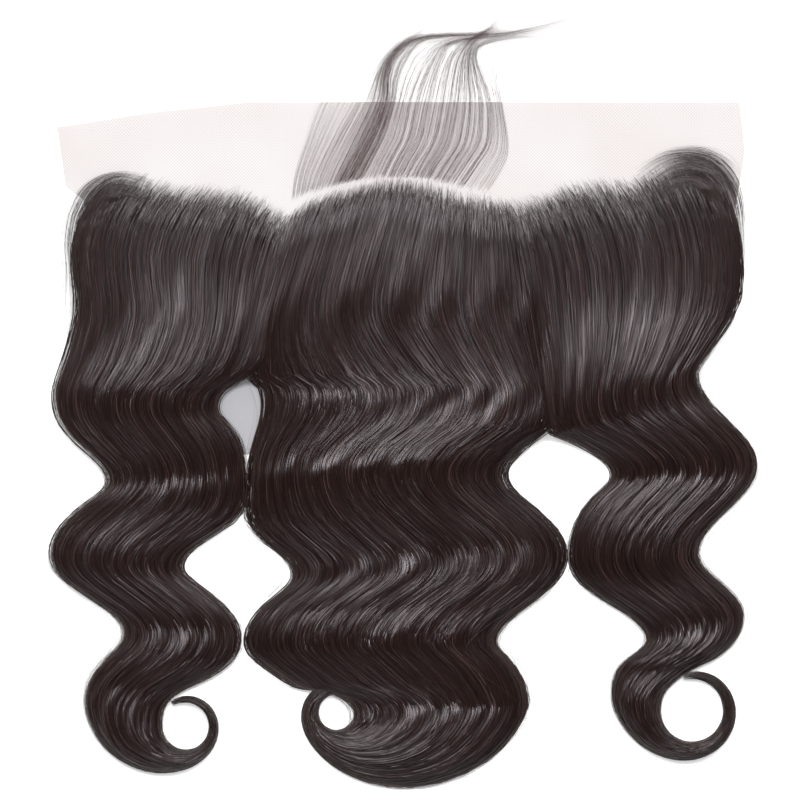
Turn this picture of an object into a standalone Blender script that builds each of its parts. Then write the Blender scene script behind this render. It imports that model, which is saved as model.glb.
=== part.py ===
"""Lace frontal hairpiece: an ear-to-ear band of lace with dark body-wave hair knotted into
it, lying flat with its hair side up. Metres, +Z up, +Y towards the lace's front edge. The
origin is on the lace's underside, halfway along its width. The tables are in millimetres."""

import math
from collections import namedtuple

import bmesh
import bpy

MM = 0.001

# The lace band, 13 inches wide, thicker here than the real net so that it is a closed wall
LACE_WIDTH = 330
LACE_THICKNESS = 1.0
LACE_FRONT_Y = 83
LACE_SIDE_X = LACE_WIDTH / 2
# Its straight back edge runs a little askew under the hair
BACK_LEFT_X, BACK_LEFT_Y = -138.5, -90
BACK_RIGHT_X, BACK_RIGHT_Y = 138, -60

# Hair: its underside over the lace, and how it comes down to the table past the lace
UNDERSIDE_OVER_LACE = LACE_THICKNESS + 0.3
LEVEL_PAST_EDGE = 13
RAMP_TO_TABLE = 8
EDGE_WALL = 1.2
CLUMP_RELIEF = 0.9
CLUMPS_ACROSS = 3
ROOT_ROWS = 2

# How finely a lock is laid out: points across its top and underside, steps a section
LOCK_TOP_POINTS = 13
WISP_TOP_POINTS = 7
UNDER_EVERY = 3
STEPS_A_SECTION = 4
CURL_STEP = 9
# Over 1, the sections of a curl crowd towards its wide start
CURL_CROWDING = 1.25

Outline = namedtuple("Outline", "x y")
# A section of a lock: its left and right edges, and the height of its crown
Section = namedtuple("Section", "left_x left_y right_x right_y height")
# The hairline's rise above the straight line between a lock's two first corners.
# A lean over 1 moves the highest place to the right, and one under 1 to the left.
Hairline = namedtuple("Hairline", "rise lean")
NO_HAIRLINE = Hairline(rise=0, lean=1)
# A curl: its middle, the radius of its hole, and its outer radius at its start, round its
# ring and at its tip, with how fast the start narrows to the ring.
# Turn 1 starts on its left side and goes anticlockwise, -1 on its right and clockwise.
Curl = namedtuple("Curl", "x y hole start ring tip spread power turn sweep height tip_height")

LACE_OUTLINE = [
    Outline(-LACE_SIDE_X, 71),
    Outline(-120.5, 78),
    Outline(-72.5, LACE_FRONT_Y),
    Outline(162.5, LACE_FRONT_Y),
    Outline(LACE_SIDE_X, 60),
    Outline(163.5, 49.5),
    Outline(160.5, 33.5),
    Outline(157.5, -7),
    Outline(141.5, -29),
    Outline(BACK_RIGHT_X, BACK_RIGHT_Y),
    Outline(BACK_LEFT_X, BACK_LEFT_Y),
    Outline(-151, -60),
    Outline(-152, 36),
    Outline(-161, 42.5),
]

# The heights are greatest where a wave turns, which is where its crest lies
LEFT_HAIRLINE = Hairline(rise=13, lean=0.6)
LEFT_SECTIONS = [
    Section(-154, 41, -54, 32.5, 2.5),
    Section(-160, 14.5, -58.5, 6, 6),
    Section(-156.5, -14.5, -65.5, -20.5, 9.5),
    Section(-162, -40, -72, -43.5, 8),
    Section(-167, -61, -87.5, -61.5, 11),
    Section(-156.5, -80.5, -79, -75, 8),
    Section(-141, -98, -74.5, -94.5, 11),
    Section(-155, -112, -79, -117.5, 8),
    Section(-168.5, -134, -104, -137, 11),
    Section(-153, -153, -92.5, -152, 8),
    Section(-133.5, -170, -77, -173, 10.5),
    Section(-144, -186, -89, -192, 8),
    Section(-151.5, -201.5, -110, -203, 9.5),
]
LEFT_CURL = Curl(
    x=-103.5, y=-216.5, hole=11.5, start=45.5, ring=15.5, tip=13.8, spread=57, power=1.25,
    turn=1, sweep=264, height=9, tip_height=4,
)

CENTRE_HAIRLINE = Hairline(rise=13.5, lean=1)
CENTRE_SECTIONS = [
    Section(-52.5, 32.5, 56.5, 28.5, 2.5),
    Section(-57.5, 6, 60, 6, 6.5),
    Section(-64.5, -20.5, 63, -20.5, 9.5),
    Section(-69.5, -46, 66, -43.5, 11),
    Section(-66, -62, 68.5, -62.5, 12),
    Section(-70.5, -81.5, 60.5, -82, 9),
    Section(-73.5, -99.5, 50.5, -97, 12),
    Section(-71.5, -122.5, 66.5, -114, 9),
    Section(-52, -141.5, 79, -135, 12),
    Section(-64, -157, 66, -155, 9),
    Section(-74.5, -174, 47, -172.5, 12),
    Section(-68, -186.5, 51.5, -183, 10),
    Section(-51.5, -197.5, 58, -192.5, 10.5),
    Section(-34, -200.5, 61.5, -202.5, 10.5),
]
CENTRE_CURL = Curl(
    x=-31, y=-210, hole=8.4, start=92, ring=17, tip=13.5, spread=56, power=1.5,
    turn=-1, sweep=222, height=10.5, tip_height=4.5,
)

RIGHT_HAIRLINE = Hairline(rise=13, lean=1.5)
RIGHT_SECTIONS = [
    Section(58, 28.5, 162, 42.5, 2.5),
    Section(61.5, 6, 164, 17, 6.5),
    Section(65, -20.5, 162.5, -13.5, 9.5),
    Section(69, -44.5, 149, -36, 9),
    Section(73, -71.5, 143, -52, 11),
    Section(86, -82.5, 160.5, -73, 8),
    Section(100.5, -95.5, 171, -91.5, 11),
    Section(89, -109.5, 159.5, -110.5, 8),
    Section(80.5, -134.5, 142.5, -132, 11),
    Section(92, -153, 154.5, -149, 8),
    Section(117, -171.5, 164, -165, 10.5),
    Section(109.5, -183.5, 153.5, -182, 8),
    Section(103, -191, 140, -189, 9),
    Section(101, -200.5, 127.5, -198.5, 9.5),
]
RIGHT_CURL = Curl(
    x=139.5, y=-209, hole=15.3, start=37, ring=21.3, tip=18.2, spread=51, power=1.1,
    turn=1, sweep=260, height=9, tip_height=4,
)

# The baby hair swept up over the lace: a fan, and the three wisps that it runs out into
FAN_HAIRLINE = Hairline(rise=11.5, lean=1)
FAN_SECTIONS = [
    Section(-48.5, 38, 46, 36, 1.2),
    Section(-46.5, 56, 47.5, 54, 1.6),
    Section(-40, 79, 50.5, 74.5, 1.8),
    Section(-23.5, 96.5, 45, 93, 2),
    Section(-10.5, 108, 39.5, 104.5, 2.2),
    Section(2, 116, 41, 109.5, 1.8),
    Section(18, 119, 51, 110, 1.4),
]
OUTER_WISP = [
    Section(-9, 108, 0, 104, 2),
    Section(3, 117.5, 11, 111.5, 1.8),
    Section(17.5, 123.5, 22, 117.5, 1.6),
    Section(27.5, 131, 32, 127.5, 1.2),
    Section(32, 137.5, 34, 136.5, 0.8),
]
MIDDLE_WISP = [
    Section(24, 117, 33, 111, 2),
    Section(38, 124, 43, 119, 1.6),
    Section(47, 132, 50.5, 129.5, 1),
    Section(50.5, 137, 52, 136.5, 0.8),
]
LONG_WISP = [
    Section(10, 117.5, 40, 107, 2),
    Section(45, 119.5, 49, 110.5, 1.8),
    Section(70, 119, 70, 111, 1.5),
    Section(86, 120.5, 85, 113, 1.1),
    Section(97, 120, 97, 117, 0.8),
]

DARK_HAIR = (0.018, 0.013, 0.012)
WISP_HAIR = (0.05, 0.036, 0.031)
LACE_CREAM = (0.9, 0.86, 0.82)


def clear_scene():
    for thing in list(bpy.data.objects):
        bpy.data.objects.remove(thing, do_unlink=True)


def material(name, colour, roughness):
    """A plain finish with the part's own colour and roughness."""
    made = bpy.data.materials.new(name)
    made.use_nodes = True
    shader = made.node_tree.nodes["Principled BSDF"]
    shader.inputs["Base Color"].default_value = (*colour, 1)
    shader.inputs["Roughness"].default_value = roughness
    shader.inputs["Metallic"].default_value = 0
    return made


def add_object(name, bm, finish):
    """An object from a bmesh, with its faces turned out."""
    bmesh.ops.recalc_face_normals(bm, faces=bm.faces)
    mesh = bpy.data.meshes.new(name)
    bm.to_mesh(mesh)
    bm.free()
    mesh.materials.append(finish)
    made = bpy.data.objects.new(name, mesh)
    bpy.context.collection.objects.link(made)
    return made


def between(start, end, share):
    return start + (end - start) * share


def underside(x, y):
    """Height of the hair's underside: just over the lace, and on the table past it."""
    share = (x - BACK_LEFT_X) / (BACK_RIGHT_X - BACK_LEFT_X)
    back_y = between(BACK_LEFT_Y, BACK_RIGHT_Y, share)
    past = max(back_y - y, y - LACE_FRONT_Y) - LEVEL_PAST_EDGE
    return UNDERSIDE_OVER_LACE * (1 - min(max(past / RAMP_TO_TABLE, 0), 1))


def curl_section(curl, angle):
    """The section of a curl at an angle along it, in degrees from its start."""
    narrowing = math.exp(-((angle / curl.spread) ** curl.power))
    outer = between(curl.ring, curl.start, narrowing)
    outer -= (curl.ring - curl.tip) * (angle / curl.sweep) ** 4
    heading = math.radians(180 + angle if curl.turn == 1 else -angle)
    along_x, along_y = math.cos(heading), math.sin(heading)
    rim = (curl.x + outer * along_x, curl.y + outer * along_y)
    bore = (curl.x + curl.hole * along_x, curl.y + curl.hole * along_y)
    height = between(curl.height, curl.tip_height, angle / curl.sweep)
    left, right = (rim, bore) if curl.turn == 1 else (bore, rim)
    return Section(*left, *right, height)


def smooth_sections(guides, last):
    """Sections on a smooth curve through the guides, as far as the guide numbered last."""
    made = []
    for i in range(last):
        before, start = guides[max(i - 1, 0)], guides[i]
        end, after = guides[i + 1], guides[min(i + 2, len(guides) - 1)]
        for step in range(STEPS_A_SECTION):
            t = step / STEPS_A_SECTION
            values = [
                p1 + 0.5 * t * (p2 - p0 + t * (2 * p0 - 5 * p1 + 4 * p2 - p3
                                               + t * (3 * (p1 - p2) + p3 - p0)))
                for p0, p1, p2, p3 in zip(before, start, end, after)
            ]
            made.append(Section(*values))
    made.append(guides[last])
    return made


def lock_sections(sections, curl=None):
    """All the sections of a lock: its waves, then its curl if it has one."""
    if curl is None:
        return smooth_sections(sections, len(sections) - 1)
    start, lead = curl_section(curl, 0), curl_section(curl, 2 * CURL_STEP)
    waves = smooth_sections([*sections, start, lead], len(sections))
    steps = round(curl.sweep / CURL_STEP)
    shares = [(i / steps) ** CURL_CROWDING for i in range(1, steps + 1)]
    return waves + [curl_section(curl, curl.sweep * share) for share in shares]


def top_and_under(section, row, hairline, top_points):
    """The points over a section and those straight below them, from left to right."""
    fade = max(1 - row / (ROOT_ROWS * STEPS_A_SECTION), 0) ** 2
    top, under = [], []
    for i in range(top_points):
        across = i / (top_points - 1)
        x = between(section.left_x, section.right_x, across)
        y = between(section.left_y, section.right_y, across)
        y += hairline.rise * fade * math.sin(math.pi * across**hairline.lean)
        crown = math.sin(math.pi * across) ** 0.55
        clump = math.cos(2 * math.pi * (CLUMPS_ACROSS * across + 0.02 * row))
        relief = CLUMP_RELIEF * clump * crown * min(section.height / 10, 1)
        wall = min(EDGE_WALL, section.height * 0.5)
        low = underside(x, y)
        top.append((x, y, low + wall + (section.height - wall) * crown + relief))
        if i % UNDER_EVERY == 0:
            under.append((x, y, low))
    return top, under


def lock_mesh(sections, hairline, top_points):
    """One closed body laid through a lock's sections."""
    bm = bmesh.new()
    rows = []
    for row, section in enumerate(sections):
        top, under = top_and_under(section, row, hairline, top_points)
        rows.append([[bm.verts.new([c * MM for c in p]) for p in line] for line in (top, under)])
    for (top, under), (next_top, next_under) in zip(rows, rows[1:]):
        ring, next_ring = top + under[::-1], next_top + next_under[::-1]
        for i in range(len(ring)):
            j = (i + 1) % len(ring)
            bm.faces.new((ring[i], ring[j], next_ring[j], next_ring[i]))
    for top, under in (rows[0], rows[-1]):
        for k in range(len(under) - 1):
            over = top[k * UNDER_EVERY:(k + 1) * UNDER_EVERY + 1]
            bm.faces.new((under[k + 1], under[k], *over))
    return bm


def make_lace_base():
    """The band of lace, with its underside flat on the table."""
    bm = bmesh.new()
    edge = [bm.verts.new((p.x * MM, p.y * MM, 0)) for p in LACE_OUTLINE]
    raised = bmesh.ops.extrude_face_region(bm, geom=[bm.faces.new(edge)])
    top = [v for v in raised["geom"] if isinstance(v, bmesh.types.BMVert)]
    bmesh.ops.translate(bm, verts=top, vec=(0, 0, LACE_THICKNESS * MM))
    add_object("lace_base", bm, material("lace", LACE_CREAM, 0.8))


def make_lock(name, sections, hairline, curl):
    bm = lock_mesh(lock_sections(sections, curl), hairline, LOCK_TOP_POINTS)
    add_object(name, bm, material(name, DARK_HAIR, 0.35))


def make_front_wisp():
    """The fan of baby hair, with its three wisps joined to it."""
    finish = material("front_wisp", WISP_HAIR, 0.45)
    fan_mesh = lock_mesh(lock_sections(FAN_SECTIONS), FAN_HAIRLINE, LOCK_TOP_POINTS)
    fan = add_object("front_wisp", fan_mesh, finish)
    for number, sections in enumerate((OUTER_WISP, MIDDLE_WISP, LONG_WISP), start=1):
        strip_mesh = lock_mesh(lock_sections(sections), NO_HAIRLINE, WISP_TOP_POINTS)
        strip = add_object(f"wisp_{number}", strip_mesh, finish)
        strip.hide_render = True
        strip.display_type = "WIRE"
        joined = fan.modifiers.new(f"Wisp {number}", "BOOLEAN")
        joined.operation = "UNION"
        joined.object = strip


clear_scene()
make_lace_base()
make_lock("left_lock", LEFT_SECTIONS, LEFT_HAIRLINE, LEFT_CURL)
make_lock("centre_lock", CENTRE_SECTIONS, CENTRE_HAIRLINE, CENTRE_CURL)
make_lock("right_lock", RIGHT_SECTIONS, RIGHT_HAIRLINE, RIGHT_CURL)
make_front_wisp()
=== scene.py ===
"""The looks of a lace frontal hairpiece that lies flat on a white table, hair side up."""

import math
from collections import namedtuple

import bpy
import numpy as np
from mathutils.kdtree import KDTree
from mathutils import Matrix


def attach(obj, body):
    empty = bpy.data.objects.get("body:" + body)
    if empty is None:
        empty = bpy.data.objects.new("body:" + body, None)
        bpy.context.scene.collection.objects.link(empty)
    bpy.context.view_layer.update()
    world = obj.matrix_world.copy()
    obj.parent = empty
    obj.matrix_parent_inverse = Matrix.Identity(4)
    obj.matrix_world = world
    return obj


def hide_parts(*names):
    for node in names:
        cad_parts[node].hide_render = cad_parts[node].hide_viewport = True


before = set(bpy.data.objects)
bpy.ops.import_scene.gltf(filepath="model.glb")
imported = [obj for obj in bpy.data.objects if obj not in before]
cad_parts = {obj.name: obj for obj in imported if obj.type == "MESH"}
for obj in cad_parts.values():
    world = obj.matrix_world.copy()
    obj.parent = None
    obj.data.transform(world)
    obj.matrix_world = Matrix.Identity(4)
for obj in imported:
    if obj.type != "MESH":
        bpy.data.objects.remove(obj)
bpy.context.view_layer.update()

# Sizes are in mm in the frame's axes, and MM turns them into metres
MM = 0.001


# The lace: an ear-to-ear band of fine hand-knotting net, cut by hand along its front and
# sides. It lies flat under the hair, with a few soft creases left from folding.

LACE_FRONT_X = [-165, -120.5, -72.5, 162.5]
LACE_FRONT_Y = [71, 78, 83, 83]
LACE_LEFT_SIDE = [(-165, 71), (-161, 42.5), (-152, 36), (-151, -60), (-138.5, -94)]
LACE_RIGHT_SIDE = [
    (162.5, 83), (165, 60), (163.5, 49.5), (160.5, 33.5), (157.5, -7), (141.5, -29),
    (138, -60),
]
LACE_HEIGHT = 0.45
LACE_ACROSS, LACE_ALONG = 110, 56
# The net's slight waves: their height, and the mm to a radian across and along
BROAD_WAVE = (0.15, 23, 17)
FINE_WAVE = (0.08, 7, 11)
NET_PITCH = 1.1
NET_THREAD = 0.16
# How much of what lies under it the net hides, on a thread and between threads
THREAD_COVER, HOLE_COVER = 0.98, 0.8
NET_DARKER = (0.735, 0.68, 0.668, 1)
NET_PALER = (0.785, 0.75, 0.752, 1)
# Behind its front rows the net is full of knots and lies in the hair's shade: both are
# painted as a darker tint
SHADE_AND_KNOTS_FROM, SHADE_AND_KNOTS_FULLY = -10, -38
SHADE_AND_KNOTS_TINT = (0.43, 0.425, 0.45, 1)

# Where the creases end behind the front edge, and over how many mm they fade out
CREASES_END, CREASES_FADE = 20, 30
# A crease's place at the front edge, how far it leans for each mm back, height and width
Crease = namedtuple("Crease", "x lean height width")
CREASES = [
    Crease(-141, 0.33, 0.7, 2.2),
    Crease(-125, 0.05, 0.35, 2.5),
    Crease(-57, 0.02, 0.6, 3.5),
    Crease(36, -0.03, 0.5, 3.0),
    Crease(104, -0.08, 0.8, 2.0),
]


def even_line(corners, count):
    """Points spaced evenly along straight runs between corners."""
    corners = np.array(corners, float)
    gone = np.concatenate([[0], np.cumsum(np.linalg.norm(np.diff(corners, axis=0), axis=1))])
    at = np.linspace(0, gone[-1], count)
    return np.stack([np.interp(at, gone, corners[:, k]) for k in range(2)], axis=1)


def add_mesh(name, points, quads, finish):
    """A smooth object from arrays of points in metres and of four-cornered faces."""
    mesh = bpy.data.meshes.new(name)
    mesh.vertices.add(len(points))
    mesh.vertices.foreach_set("co", np.ascontiguousarray(points, np.float32).ravel())
    mesh.loops.add(quads.size)
    mesh.loops.foreach_set("vertex_index", np.ascontiguousarray(quads, np.int32).ravel())
    mesh.polygons.add(len(quads))
    mesh.polygons.foreach_set("loop_start", np.arange(0, quads.size, 4, dtype=np.int32))
    mesh.polygons.foreach_set("use_smooth", np.full(len(quads), True))
    mesh.update(calc_edges=True)
    mesh.materials.append(finish)
    made = bpy.data.objects.new(name, mesh)
    bpy.context.collection.objects.link(made)
    return made


def grid_quads(rows, columns):
    """The faces of a grid of points that runs row by row."""
    first = (np.arange(rows - 1)[:, None] * columns + np.arange(columns - 1)).ravel()
    return np.stack([first, first + 1, first + columns + 1, first + columns], axis=1)


def lace_points():
    """The lace's grid of points: rows from side to side, bowed towards its front edge."""
    left = even_line(LACE_LEFT_SIDE, LACE_ALONG)
    right = even_line(LACE_RIGHT_SIDE, LACE_ALONG)
    across = np.linspace(0, 1, LACE_ACROSS)[None, :, None]
    flat = left[:, None] + (right - left)[:, None] * across
    front_x = flat[0, :, 0]
    swell = np.interp(front_x, LACE_FRONT_X, LACE_FRONT_Y) - flat[0, :, 1]
    flat[:, :, 1] += swell * np.linspace(1, 0, LACE_ALONG)[:, None] ** 2
    x, y = flat[:, :, 0], flat[:, :, 1]
    high, across, along = BROAD_WAVE
    z = LACE_HEIGHT + high * np.sin(x / across + 1) * np.sin(y / along)
    high, across, along = FINE_WAVE
    z += high * np.sin(x / across + y / along)
    kept = np.clip((y - CREASES_END) / CREASES_FADE, 0, 1)
    for crease in CREASES:
        off = x - crease.x + crease.lean * (LACE_FRONT_Y[-1] - y)
        z += crease.height * np.exp(-((off / crease.width) ** 2)) * kept
    return np.stack([x, y, z], axis=2).reshape(-1, 3) * MM


def feed(node, **inputs):
    """Sets a node's inputs, or links an output to them. _ in a name stands for a space."""
    for name, value in inputs.items():
        socket = node.inputs[name.replace("_", " ")]
        if isinstance(value, bpy.types.NodeSocket):
            node.id_data.links.new(value, socket)
        else:
            socket.default_value = value
    return node


def start_material(name):
    """A new material and its Principled shader."""
    made = bpy.data.materials.new(name)
    made.use_nodes = True
    return made, made.node_tree.nodes["Principled BSDF"]


def add_node(made, kind, **inputs):
    """A new node in a material, with its inputs fed."""
    return feed(made.node_tree.nodes.new("ShaderNode" + kind), **inputs)


def lace_finish():
    """Cream net: threads in a diamond mesh, tinted in soft patches, and darkened behind its
    front rows by its knots and by painted shade from the hair.
    """
    made, shader = start_material("lace_net")
    place = add_node(made, "TexCoord").outputs["Object"]
    pitch = 1 / (NET_PITCH * MM)
    turned = add_node(
        made, "Mapping", Vector=place, Rotation=(0, 0, math.radians(45)), Scale=(pitch,) * 3
    )
    cells = add_node(made, "TexVoronoi", Scale=1, Randomness=0.12)
    cells.voronoi_dimensions = "2D"
    cells.feature = "DISTANCE_TO_EDGE"
    feed(cells, Vector=turned.outputs["Vector"])
    cover = add_node(
        made, "MapRange", Value=cells.outputs["Distance"], From_Min=NET_THREAD * 0.5,
        From_Max=NET_THREAD, To_Min=THREAD_COVER, To_Max=HOLE_COVER,
    )
    patches = add_node(made, "TexNoise", Vector=place, Scale=14, Detail=3)
    tint = add_node(made, "ValToRGB", Fac=patches.outputs["Fac"])
    tint.color_ramp.elements[0].position = 0.35
    tint.color_ramp.elements[0].color = NET_DARKER
    tint.color_ramp.elements[1].position = 0.65
    tint.color_ramp.elements[1].color = NET_PALER
    apart = add_node(made, "SeparateXYZ", Vector=place)
    # Painted shade: the net darkens towards its back, where its knots are and where the hair
    # over it shades it
    shade_and_knots = add_node(
        made, "MapRange", Value=apart.outputs["Y"], From_Min=SHADE_AND_KNOTS_FROM * MM,
        From_Max=SHADE_AND_KNOTS_FULLY * MM,
    )
    darkened = add_node(
        made, "MixRGB", Fac=shade_and_knots.outputs["Result"], Color1=tint.outputs["Color"],
        Color2=SHADE_AND_KNOTS_TINT,
    )
    feed(
        shader, Base_Color=darkened.outputs["Color"], Alpha=cover.outputs["Result"],
        Roughness=0.8, Specular_IOR_Level=0.2,
    )
    return made


lace = add_mesh("lace_net", lace_points(), grid_quads(LACE_ALONG, LACE_ACROSS), lace_finish())
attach(lace, "root")
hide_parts("lace_base")


# The left lock: human hair knotted into the lace a few strands at a time, set in a body
# wave while damp. Its ends roll up anticlockwise into a curl round an open eye.

# A lock's edges at one place along it, and how far its middle swings right of halfway
Section = namedtuple("Section", "left_x left_y right_x right_y sway")
# A place along a lock, counted in sections, and how high the hair stands at a fifth, a half
# and four fifths of the way across. The hair catches the light wherever it climbs.
Swell = namedtuple("Swell", "at left middle right")
# The middle and radius of a curl's eye, and its outer radius where it starts, on its round
# and at its tip. Spread and power say how soon the start closes in to the round, turn is 1
# where the curl runs anticlockwise, and sweep is how many degrees it runs.
Curl = namedtuple("Curl", "x y hole start ring tip spread power turn sweep")
# A lock laid out in frames, the rows of its edges, sway and heights. Its hairline is how far
# its roots rise, in mm, over a straight line at shares of the way across. Fan is how far
# across the lock its roots lie from where they fall to, at its left and at its right edge.
# Joined is how many sections long each edge lies against the next lock. Thin is how many mm
# behind the hairline its hair is full.
Lock = namedtuple("Lock", "frames hairline fan joined thin seed")

FRAMES_A_SECTION = 12
# Degrees of a curl from one frame to the next
CURL_FRAME = 2.25
# The hairline's arch dies out, and the clumps' relief comes in, over these frames
ROOT_FRAMES = 2 * FRAMES_A_SECTION
# How many frames to each side the heights and the edges are evened out over
SOFTEN = 3
EASE, EASE_ROUNDS = 7, 3
# The hair lies over the lace as far as a little past its edges, then sinks to the table
LACE_BACK_X, LACE_BACK_Y = zip(LACE_LEFT_SIDE[-1], LACE_RIGHT_SIDE[-1])
OVER_LACE = 1.3
PAST_LACE, SINKS_OVER = 13, 8

LEFT_SECTIONS = [
    Section(-150, 41, -54, 32.5, 0),
    Section(-159, 14.5, -58.5, 6, -3),
    Section(-156.5, -14.5, -65.5, -20.5, 1.5),
    Section(-162, -40, -72, -43.5, 1),
    Section(-167, -61, -87.5, -61.5, 1.5),
    Section(-156.5, -80.5, -79, -75, 0),
    Section(-141, -98, -74.5, -94.5, 0),
    Section(-155, -112, -79, -117.5, 0),
    Section(-168.5, -134, -104, -137, 0),
    Section(-153, -153, -92.5, -152, 0),
    Section(-133.5, -170, -77, -173, 0),
    Section(-144, -186, -89, -192, 0),
    Section(-151.5, -201.5, -110, -203, 0),
]
LEFT_HAIRLINE = [2, 8, 10, 9.5, 7.3, 7, 7.8, 8.3, 6.8, 3.3, -2]
LEFT_SWELL = [
    Swell(0, 0.8, 0.8, 0.8),
    Swell(0.3, 1.6, 1.6, 1.6),
    Swell(0.95, 3.3, 3.3, 3.3),
    Swell(1.6, 5.1, 4.8, 4.7),
    Swell(1.9, 5.8, 5.8, 5.8),
    Swell(2.3, 6.7, 7.1, 7.3),
    Swell(2.6, 7.7, 7.9, 7.8),
    Swell(3.5, 10.3, 10.5, 10.2),
    Swell(3.8, 10.8, 10.9, 10.8),
    Swell(6.15, 8, 7.8, 7.3),
    Swell(6.95, 10.4, 10.6, 11.2),
    Swell(7.35, 9.5, 9.7, 10),
    Swell(8.1, 11.3, 11.4, 11.2),
    Swell(9.95, 8.1, 8.1, 7.8),
    Swell(10.7, 10.7, 10.7, 10.7),
    Swell(11.7, 8.6, 8.4, 8),
    Swell(12.3, 10, 9.2, 8.2),
    Swell(12.9, 10.8, 10.6, 9.4),
    Swell(13.5, 10.4, 10.8, 10.6),
    Swell(14.5, 9.2, 9.4, 9.6),
    Swell(17, 8, 8, 8),
    Swell(21, 6, 6, 6),
    Swell(24.5, 3.5, 3.5, 3.5),
]
LEFT_CURL = Curl(
    x=-103.5, y=-216.5, hole=11.5, start=45.5, ring=15.7, tip=13.9, spread=57, power=1.25,
    turn=1, sweep=304,
)


def even_out(line, reach):
    """A line of values, each evened out with a few on both sides of it."""
    window = np.hanning(2 * reach + 3)
    return np.convolve(np.pad(line, reach, "edge"), window[1:-1] / window.sum(), "valid")


def curve_between(p0, p1, p2, p3, t):
    """Points from p1 to p2, at shares t, of the smooth curve through all four."""
    bend = 2 * p0 - 5 * p1 + 4 * p2 - p3 + t * (3 * (p1 - p2) + p3 - p0)
    return p1 + 0.5 * t * (p2 - p0 + t * bend)


def curl_frames(curl):
    """Sections round a curl, every CURL_FRAME degrees from its start to its tip."""
    angle = np.arange(0, curl.sweep + 0.01, CURL_FRAME)
    closing = np.exp(-((angle / curl.spread) ** curl.power))
    outer = curl.ring + (curl.start - curl.ring) * closing
    outer -= (curl.ring - curl.tip) * (angle / curl.sweep) ** 4
    heading = np.radians(180 + angle if curl.turn == 1 else -angle)
    along = np.stack([np.cos(heading), np.sin(heading)], axis=1)
    middle = np.array([curl.x, curl.y])
    rim, bore = middle + along * outer[:, None], middle + along * curl.hole
    left, right = (rim, bore) if curl.turn == 1 else (bore, rim)
    return np.column_stack([left, right, 0 * angle])


def lay_out(sections, swells, curl):
    """A lock's frames: a smooth run through its sections, then its curl."""
    ring = curl_frames(curl)
    wanted = np.array(sections, float)
    t = np.linspace(0, 1, FRAMES_A_SECTION, endpoint=False)[:, None]
    guides = wanted.copy()
    # Easing rounds the turns and pulls them in, so the guides move out to make up for it
    for _ in range(EASE_ROUNDS):
        lead = guides[-1].copy()
        for k in (0, 2):
            step = ring[1, k:k + 2] - ring[0, k:k + 2]
            chord = ring[0, k:k + 2] - guides[-1, k:k + 2]
            lead[k:k + 2] += 2 * step / np.linalg.norm(step) * np.linalg.norm(chord)
        ways = np.array([guides[0], *guides, ring[0], lead])
        fours = zip(ways, ways[1:], ways[2:], ways[3:])
        edges = np.concatenate([*(curve_between(*four, t) for four in fours), ring])
        edges = np.column_stack([even_out(edge, EASE) for edge in edges.T])
        guides += wanted - edges[:len(wanted) * FRAMES_A_SECTION:FRAMES_A_SECTION]
    swells = np.array(swells)
    at = np.arange(len(edges)) / FRAMES_A_SECTION
    heights = [np.interp(at, swells[:, 0], swells[:, k]) for k in (1, 2, 3)]
    return np.column_stack([edges, *(even_out(height, SOFTEN) for height in heights)])


# How much the hair lingers at a wave's turns, and the sections that the waves run between
ROUNDNESS = 0.7
WAVES_START, WAVES_END = 3, 12
SWAY_POWER = 0.8
# How far from a lock's middle its outer heights are given, as a share of its width
SWELL_APART = 0.3
# A lock is flat on top and rounds off at its edges, where it still has some height
CROWN_POWER = 0.55
EDGE_HEIGHT, LEAST_HEIGHT = 0.4, 0.3
# Against the next lock an edge rounds off less, and its strands lap over
JOINED_MARGIN = 0.15
JOINED_LAP = 0.05
# The relief of clumps: its share, its heights in mm, and its waves across and in a frame
TOUSLED = 0.35
TOUSLE_SIZES = (0.5, 0.42, 0.36, 0.3, 0.25, 0.22, 0.2)
TOUSLE_ACROSS, TOUSLE_ALONG = (2.5, 14), (0.02, 0.07)
TOUSLE_BEND = 2.2


def underside(x, y):
    """Height of the hair's underside: just over the lace, and on the table past it."""
    behind = np.interp(x, LACE_BACK_X, LACE_BACK_Y) - y
    past = np.maximum(behind, y - LACE_FRONT_Y[-1]) - PAST_LACE
    return OVER_LACE * (1 - np.clip(past / SINKS_OVER, 0, 1))


def tousle(lock, across, along):
    """Small rises and hollows, where strands cling together and catch the light."""
    rng = np.random.default_rng(lock.seed)
    height = 0
    for size in TOUSLE_SIZES:
        waves_across = rng.uniform(*TOUSLE_ACROSS)
        waves_along = rng.uniform(*TOUSLE_ALONG)
        turn = rng.uniform(0, 2 * math.pi)
        height = height + size * np.sin(
            2 * math.pi * (waves_across * across + waves_along * along) + turn
            + TOUSLE_BEND * np.sin(0.045 * along + 5 * across + turn)
        )
    return height * np.clip(along / ROOT_FRAMES, 0, 1)


def joined(lock, along):
    """How fully each edge lies against the next lock, from 1 at its roots to 0 beyond."""
    return [np.clip(3 * (ends - along / FRAMES_A_SECTION), 0, 1) for ends in lock.joined]


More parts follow.
